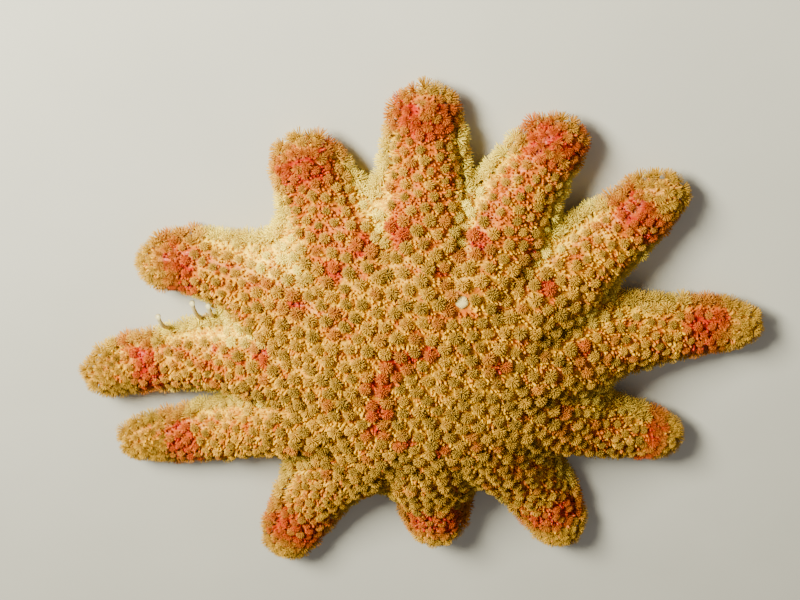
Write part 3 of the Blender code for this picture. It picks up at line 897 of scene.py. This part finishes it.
def plate_material():
    made = Nodes("sieve_plate")
    made.markings(2600, 4, 0.85, 1.08)
    made.roughness(1400, 0.55, 0.75)
    made.bump(made.noise(3000, 3), 0.4, 0.0001)
    return made.material


def floor_material():
    made = Nodes("floor")
    made.base_colour(made.spread(made.noise(14, 5), 0.92, 1.0)).default_value = FLOOR_GREY
    made.roughness(60, 0.7, 0.85)
    return made.material


SKIN_FINISH = skin_material()
BRUSH_FINISH = brush_material()
PAPULA_FINISH = soft_material("papulae", 0.28, 0.42)
FOOT_FINISH = soft_material("tube_feet", 0.2, 0.35)
PLATE_FINISH = plate_material()


def margin_roots():
    """Roots, directions, arms and sizes of the brushes in a row round each arm's edge."""
    roots, ways, arms, sizes = [], [], [], []
    for shape in SHAPES:
        path = [shape.top(s, 1.0) for s in np.linspace(0.0, MARGIN_END, MARGIN_POINTS)]
        path += [shape.top(s, -1.0) for s in np.linspace(MARGIN_END, 0.0, MARGIN_POINTS)]
        path = np.array(path)
        runs = np.concatenate([[0], np.cumsum(np.linalg.norm(np.diff(path, axis=0), axis=1))])
        count = int(runs[-1] / MARGIN_SPACING)
        for k in range(count + 1):
            run = runs[-1] * k / count
            point = np.array([np.interp(run, runs, path[:, axis]) for axis in range(3)])
            spot, normal, _, _ = SKIN_TREE.find_nearest(Vector(point))
            flat = np.array([normal.x, normal.y, 0])
            flat /= max(np.linalg.norm(flat), 1e-6)
            roots.append(np.array(spot))
            ways.append(flat + np.array([0, 0, MARGIN_RISE]))
            arms.append(shape.index)
            sizes.append(mix(1.0, MARGIN_TIP_SIZE, abs(1 - abs(2 * run / runs[-1] - 1))))
    ways = np.array(ways) + rng.normal(size=(len(ways), 3)) * 0.16
    return np.array(roots), ways, np.array(arms), np.array(sizes)


def flank_level(radius, along):
    """Height of the arms' widest line, which sinks to the webs' edge inside the disc."""
    flank = FLANK_SHARE * dome(radius)
    return np.where(along > 0, flank, mix(2.5, flank, ease(along, -0.15, 0.0)))


def off_sieve(points, clearance):
    return flat_radius(points[:, :2] - SIEVE_AT) > clearance


def coat():
    """Brushes over the upper side and along the margins, and papulae between them."""
    points, normals = SKIN_POINTS, SKIN_NORMALS
    arm, along, _ = arm_coordinates(points)
    radius = flat_radius(points)
    edge_roots, edge_ways, edge_arms, edge_sizes = margin_roots()
    level = flank_level(radius, along)
    upper = (points[:, 2] > level + 0.4) & (normals[:, 2] > -0.15) & off_sieve(points, 3.3)
    chosen = np.nonzero(upper)[0]
    spacing = mix(DISC_SPACING, ARM_SPACING, ease(radius[chosen], *ARMS_BEGIN))
    spacing = mix(spacing, TIP_SPACING, ease(along[chosen], *TIPS_BEGIN))
    edge_clearance = MARGIN_CLEARANCE * edge_sizes ** 2
    kept = scatter(points[chosen], spacing, edge_roots, 0.86 * edge_clearance)
    picked = chosen[kept]
    roots, ways = relaxed(points[picked], spacing[kept], edge_roots, edge_clearance)
    arm, along, radius, level = arm[picked], along[picked], radius[picked], level[picked]
    ways = ways + rng.normal(size=ways.shape) * 0.07
    near_edge = 1 - ease(roots[:, 2] - level, 1.0, 6.0)
    ways[:, 2] -= 0.5 * near_edge
    sizes = mix(mix(1.08, 0.9, ease(radius, *ARMS_BEGIN)), 0.8, ease(along, *TIPS_BEGIN))
    sizes *= rng.uniform(*BRUSH_SIZES, len(picked))
    sizes *= 1 + 0.22 * near_edge
    disc_kinds, arm_kinds, tip_kinds, edge_kinds, side_kinds = [
        brushes(*shape) for shape in (DISC_BRUSH, ARM_BRUSH, TIP_BRUSH, EDGE_BRUSH, SIDE_BRUSH)
    ]
    on_tip = along > TIP_START
    on_side = ~on_tip & (near_edge > SIDE_START)
    on_disc = (along <= DISC_END) & ~on_side
    for group in range(3):
        mask = on_disc & (arm // 4 == group)
        name = "coat_disc_%d" % (group + 1)
        grow(name, disc_kinds, roots[mask], ways[mask], sizes[mask], False)
    grow("coat_tips", tip_kinds, roots[on_tip], ways[on_tip], sizes[on_tip], True)
    grow("coat_sides", side_kinds, roots[on_side], ways[on_side], sizes[on_side], True)
    for group in range(3):
        mask = ~on_disc & ~on_tip & ~on_side & (arm % 3 == group)
        name = "coat_arms_%d" % (group + 1)
        grow(name, arm_kinds, roots[mask], ways[mask], sizes[mask], True)
        mask = edge_arms % 3 == group
        name = "coat_margins_%d" % (group + 1)
        row_sizes = edge_sizes[mask] * rng.uniform(*BRUSH_SIZES, mask.sum())
        grow(name, edge_kinds, edge_roots[mask], edge_ways[mask], row_sizes, True)
    papulae(np.concatenate([roots, edge_roots]))


def grow(name, kinds, roots, ways, sizes, on_arms):
    """One piece of the coat, with its brushes coloured by the markings at their roots."""
    colours = brush_colours(roots, rng.uniform(-1, 1, len(roots)))
    plant(name, kinds, (roots, ways, sizes), colours, BRUSH_FINISH, unwrap(roots, on_arms))


def papulae(brush_roots):
    """Soft gill fingers that fill the gaps between the brushes."""
    corners = np.array([tuple(p.vertices) for p in SKIN_MESH.polygons if len(p.vertices) == 4])
    picked = corners[rng.integers(0, len(corners), PAPULA_TRIALS)]
    shares = rng.dirichlet((1, 1, 1, 1), PAPULA_TRIALS)[:, :, None]
    points = (SKIN_POINTS[picked] * shares).sum(1)
    normals = (SKIN_NORMALS[picked] * shares).sum(1)
    _, along, _ = arm_coordinates(points)
    level = flank_level(flat_radius(points), along)
    upper = (points[:, 2] > level + 0.2) & (normals[:, 2] > 0.0) & off_sieve(points, 2.9)
    points, normals, along = points[upper], normals[upper], along[upper]
    clearance = mix(1.8, 1.25, ease(flat_radius(brush_roots), 48, 74))
    spots = scatter(points, np.full(len(points), PAPULA_SPACING), brush_roots, clearance)
    kinds = [papula() for _ in range(6)]
    on_arms = along[spots] > DISC_END
    for name, slot, chosen in (
        ("papulae_disc", "disc_skin", spots[~on_arms]), ("papulae_arms", "arm_skin", spots[on_arms]),
    ):
        roots, ways = points[chosen], normals[chosen]
        bases = skin_colours(roots, ways)
        warm = rng.uniform(0.05, 0.95, len(chosen)) * ease(bases[:, 1] / bases[:, 0], 0.2, 0.55)
        tips = mix(bases, PAPULA_YELLOW, warm[:, None])
        sizes = rng.uniform(0.65, 1.25, len(chosen))
        unwrapped = unwrap(roots, slot == "arm_skin")
        plant(name, kinds, (roots, ways, sizes), (bases, tips), PAPULA_FINISH, unwrapped)


def groove_line(shape, share, first, spacing):
    """Points under the disc and an arm, from the mouth to the tip, with the arm's heading there."""
    found = []
    step = first
    while step < DISC_SIDE - 0.5:
        found.append((np.array(disc_under(shape.index, step, share)), unit(ARMS[shape.index][0])))
        step += spacing
    while step - DISC_SIDE < shape.length * 0.93:
        s = (step - DISC_SIDE) / shape.length
        found.append((np.array(shape.under(s, share)), shape.heading(s)))
        step += spacing
    return found


def tube_foot(length, lean):
    """A soft tube that ends in a round sucker."""
    heights = np.array([-0.4, 0.5, 0.82, 0.92, 1.0, 0.97]) * length
    path = [(lean * z * z / length, 0, z) for z in heights]
    return tube(path, [0.55, 0.46, 0.44, 0.76, 0.6], 12, [0.0, 0.15, 0.25, 0.7, 1.0, 0.5])


def fan(spines, half_angle, slant, reaches, radii, sides):
    """A row of short spines that fan out."""
    parts = []
    for k in range(spines):
        turn = math.radians(mix(-half_angle, half_angle, k / (spines - 1)))
        way = np.array([math.sin(turn), slant * k, math.cos(turn)])
        parts.append(tube([reach * way for reach in reaches], radii, sides, [0.0, 0.5, 1.0]))
    return joined(parts)


def underside():
    """Tube feet in the grooves, combs of spines along them, and tufts between the grooves."""
    feet, combs, comb_ways = [], [], []
    for shape in SHAPES:
        for side in (-1, 1):
            first = FIRST_FOOT + FOOT_STAGGER * side
            feet += [point for point, _ in groove_line(shape, side * FOOT_SHARE, first, FOOT_SPACING)]
            for point, heading in groove_line(shape, side * COMB_SHARE, FIRST_COMB, COMB_SPACING):
                combs.append(point + np.array([0, 0, 0.5]))
                comb_ways.append(np.array([*(-side * left_of(heading)), -0.25]))
    feet, combs, comb_ways = np.array(feet), np.array(combs), np.array(comb_ways)
    down = np.tile([0, 0, -1.0], (len(feet), 1)) + rng.normal(size=feet.shape) * [0.12, 0.12, 0]
    sizes = np.clip(feet[:, 2] - 0.4, 1.4, 4.5) / 2.4
    kinds = [tube_foot(FOOT_LENGTH, lean) for lean in (-0.25, 0.0, 0.3)]
    colours = evenly(FOOT_TAN * 0.9, FOOT_PALE, len(feet))
    plant("tube_feet", kinds, (feet, down, sizes), colours, FOOT_FINISH, unwrap_under(feet))
    kinds = [fan(spines, 38, 0.0, (-0.3, 0.9, 1.9), (0.2, 0.17), 4) for spines in (4, 5)]
    colours = evenly(COMB_PALE * 0.85, COMB_PALE, len(combs))
    stand = (combs, comb_ways, np.full(len(combs), 0.9))
    plant("groove_combs", kinds, stand, colours, BRUSH_FINISH, unwrap_under(combs),
          twist=np.zeros(len(combs)))
    under_tufts(np.concatenate([feet, combs]))


def under_tufts(taken):
    points, normals = SKIN_POINTS, SKIN_NORMALS
    flat_under = (normals[:, 2] < -0.75) & (points[:, 2] < 7) & (flat_radius(points) > 15)
    low = np.nonzero(flat_under)[0]
    low = low[~in_groove(points[low])]
    spots = low[scatter(points[low], np.full(len(low), UNDER_SPACING), taken, 2.2)]
    roots = points[spots]
    sizes = np.clip((roots[:, 2] - 0.15) / 2.2, 0.35, 1.0)
    kinds = brushes(*UNDER_BRUSH)
    colours = evenly(UNDER_TAN * 0.9, BRUSH_CREAM, len(spots))
    stand = (roots, normals[spots], sizes)
    plant("coat_under", kinds, stand, colours, BRUSH_FINISH, unwrap_under(roots))


def in_groove(points):
    """Whether each low point lies in an arm's groove."""
    arm, along, across = arm_coordinates(points)
    disc_width = flat_radius(points) * np.tan(HALF_SECTORS[arm, 1])
    width = np.where(along > 0, mix(HALF_WIDTH_BASE, HALF_WIDTH_TIP, along), disc_width)
    return np.abs(across) < GROOVE_SHARE * width + 0.6


def extended_feet():
    """The few long tube feet that reach out over one arm's edge."""
    shape = SHAPES[LONG_FEET_ARM]
    radii = [0.88, 0.86, 0.82, 0.76, 0.7, 0.66, 0.72, 1.0]
    tints = [0.0, 0.1, 0.2, 0.3, 0.4, 0.5, 0.8, 1.0, 1.0]
    parts = []
    for s, length in LONG_FEET:
        root = np.array(shape.under(s, -0.86))
        out = -left_of(shape.heading(s))
        path = []
        for k in (0.0, 0.17, 0.34, 0.5, 0.66, 0.82, 0.93, 0.98, 1.0):
            rise = 10.5 * math.sin(k * 1.7)
            path.append(root + np.array([*(out * length * (0.15 + k)), 1.0 + rise]))
        parts.append(tube(path, radii, 12, tints))
    verts, faces, shades = joined(parts)
    mesh = array_mesh("extended_tube_feet", world(verts), faces)
    made = finished(mesh, mix(LONG_FOOT_TAN, LONG_FOOT_PALE, shades[:, None]), FOOT_FINISH)
    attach(made, "root")


def sieve_surface(share, angle):
    wander = 0.5 * math.sin(3 * angle + 5 * share) + 0.4 * math.sin(5 * angle - 4 * share)
    grooved = 0.13 * math.sin(17 * angle + 2.2 * wander)
    grooved *= ease(share, 0.15, 0.5) * (1 - ease(share, 0.85, 1))
    radius = 2.2 * share * (1 + 0.04 * math.sin(5 * angle))
    return radius, 1.25 * math.sqrt(max(0.0, 1 - share ** 3)) + grooved + 0.05


def sieve():
    """The sieve plate: a low button with winding grooves."""
    spot, normal, _, _ = SKIN_TREE.ray_cast(Vector((*SIEVE_AT, 60)), Vector((0, 0, -1)))
    crown, foot = 1.3, -0.8
    rings = round_rings([(k + 1) / 22 for k in range(22)], 72, sieve_surface)
    rings.append([(1.04 * x, 1.04 * y, foot) for x, y, _ in rings[-1]])
    verts, faces = ring_mesh(rings, ((0, 0, crown), (0, 0, foot)))
    turn = normal.to_track_quat("Z", "Y").to_matrix()
    placed = [np.array(spot) + np.array(turn @ Vector(v)) for v in verts]
    mesh = list_mesh("sieve_plate", placed, faces)
    shades = np.clip(np.array(verts)[:, 2:] / crown, 0, 1)
    made = finished(mesh, mix(SIEVE_BROWN, SIEVE_PALE, shades), PLATE_FINISH)
    fix_normals(made)
    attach(made, "root")
    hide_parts("madreporite")


def mouth_surface(share, angle):
    radius = mix(1.1, 9.4, share) + 0.25 * math.sin(12 * angle) * share
    fold = 0.28 * math.sin(24 * angle + 3 * math.sin(angle)) * (1 - share) + 0.1 * math.sin(9 * angle)
    return radius, 6.9 - 1.2 * math.sin(math.pi * share) + fold


def mouth():
    """The mouth: a folded membrane round a small opening."""
    sides, thickness = 96, 0.8
    rings = round_rings([k / 15 for k in range(16)], sides, mouth_surface)
    rings += [[(x, y, z + thickness) for x, y, z in ring] for ring in reversed(rings)]
    verts = [point for ring in rings for point in ring]
    faces = []
    for k in range(len(rings)):
        faces += band_faces(k, (k + 1) % len(rings), sides)
    mesh = list_mesh("mouth_membrane", verts, faces)
    pale = ease(flat_radius(np.array(verts)), 1.0, 6.0)[:, None]
    made = finished(mesh, mix(LIP_RED, LIP_PALE, pale), FOOT_FINISH)
    fix_normals(made)
    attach(made, "root")
    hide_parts("mouth")


def jaws():
    """The ring of jaw spines round the mouth."""
    roots, ways = [], []
    for index in range(len(ARMS)):
        turn = ARMS[index][0] + math.degrees(half_sector(index, 1))
        for side in (-1, 1):
            for reach, height in ((9.6, 4.4), (11.2, 4.0)):
                roots.append((*(unit(turn + side * 4.5) * reach), height + 0.5))
                ways.append((*(-unit(turn + side * 2)), -0.18))
    roots, ways = np.array(roots), np.array(ways, float)
    kinds = [fan(4, 24, 0.12, (-0.4, 0.5 * reach, reach), (0.3, 0.24), 5) for reach in (2.6, 3.1)]
    colours = evenly(JAW_PALE * 0.85, JAW_PALE, len(roots))
    stand = (roots, ways, np.ones(len(roots)))
    plant("jaw_spines", kinds, stand, colours, BRUSH_FINISH, 0.5 + roots[:, :2] / 40,
          twist=np.zeros(len(roots)))


def skin():
    """The one skin over disc and arms, with low soft swells."""
    mesh = SKIN_MESH
    points, normals = SKIN_POINTS, SKIN_NORMALS
    swell = 0.22 * waves(points, 7.0) + 0.12 * waves(points + 17, 3.2)
    calm = ease(points[:, 2], 1.5, 4.0)
    swollen = world(points + normals * (swell * calm)[:, None])
    mesh.vertices.foreach_set("co", swollen.astype(np.float32).ravel())
    mesh.update()
    paint(mesh, skin_colours(points, normals))
    mesh.shade_smooth()
    mesh.materials.clear()
    mesh.materials.append(SKIN_FINISH)
    made = new_object("skin", mesh)
    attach(made, "root")
    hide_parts("disc", *["arm_%02d" % (k + 1) for k in range(len(ARMS))])


# Camera, as far from the animal and at the angle that the photograph has
CAMERA_TILT = 40.0
CAMERA_DISTANCE = 600.0
CAMERA_AIM_HEIGHT = 38.0
PHOTO_SCALE = 0.33
AIM_PIXEL = (420, 398)
PHOTO_SIZE = (800, 600)
SENSOR = 36.0
CLIP_START = 0.01

# Studio, in metres: place, size, power and colour of each light
FLOOR_SIZE = 6
KEY_LIGHT = (-0.37, 0.48, 0.42), 0.24, 24, (1.0, 0.97, 0.72)
FILL_LIGHT = (0.8, -0.3, 0.7), 1.2, 0.5, (1.0, 0.95, 0.85)
ROOM_COLOUR = (1.0, 0.93, 0.78, 1)
ROOM_STRENGTH = 0.28


def camera():
    focal = CAMERA_DISTANCE / PHOTO_SCALE
    tilt = math.radians(CAMERA_TILT)
    back = Vector((0, math.sin(tilt), math.cos(tilt)))
    up = Vector((0, math.cos(tilt), -math.sin(tilt)))
    right = up.cross(back)
    turned = Matrix((right, up, back)).transposed()
    pitch = math.atan((AIM_PIXEL[1] - PHOTO_SIZE[1] / 2) / focal)
    yaw = math.atan((AIM_PIXEL[0] - PHOTO_SIZE[0] / 2) / focal)
    turned = turned @ Matrix.Rotation(pitch, 3, "X") @ Matrix.Rotation(yaw, 3, "Y")
    data = bpy.data.cameras.new("camera")
    data.sensor_width = SENSOR
    data.lens = focal / PHOTO_SIZE[0] * SENSOR
    data.clip_start = CLIP_START
    made = new_object("camera", data)
    aim = Vector((0, 0, CAMERA_AIM_HEIGHT))
    place = Vector(world([aim + back * CAMERA_DISTANCE])[0])
    made.matrix_world = Matrix.Translation(place) @ turned.to_4x4()
    bpy.context.scene.camera = made


def light(name, place, size, power, colour):
    data = bpy.data.lights.new(name, "AREA")
    data.size = size
    data.energy = power
    data.color = colour
    made = new_object(name, data)
    made.location = place
    made.rotation_mode = "QUATERNION"
    made.rotation_quaternion = Vector(place).to_track_quat("Z", "Y")


def studio():
    bpy.ops.mesh.primitive_plane_add(size=FLOOR_SIZE)
    floor = bpy.context.object
    floor.name = "floor"
    floor.data.materials.append(floor_material())
    light("key", *KEY_LIGHT)
    light("fill", *FILL_LIGHT)
    room = bpy.data.worlds.new("studio")
    room.use_nodes = True
    background = room.node_tree.nodes["Background"]
    background.inputs["Color"].default_value = ROOM_COLOUR
    background.inputs["Strength"].default_value = ROOM_STRENGTH
    bpy.context.scene.world = room


camera()
studio()
SKIN_MESH = skin_base()
SKIN_POINTS, SKIN_NORMALS = mesh_corners(SKIN_MESH)
SKIN_TREE = BVHTree.FromPolygons(
    [Vector(p) for p in SKIN_POINTS], [tuple(p.vertices) for p in SKIN_MESH.polygons]
)
coat()
underside()
extended_feet()
sieve()
mouth()
jaws()
skin()
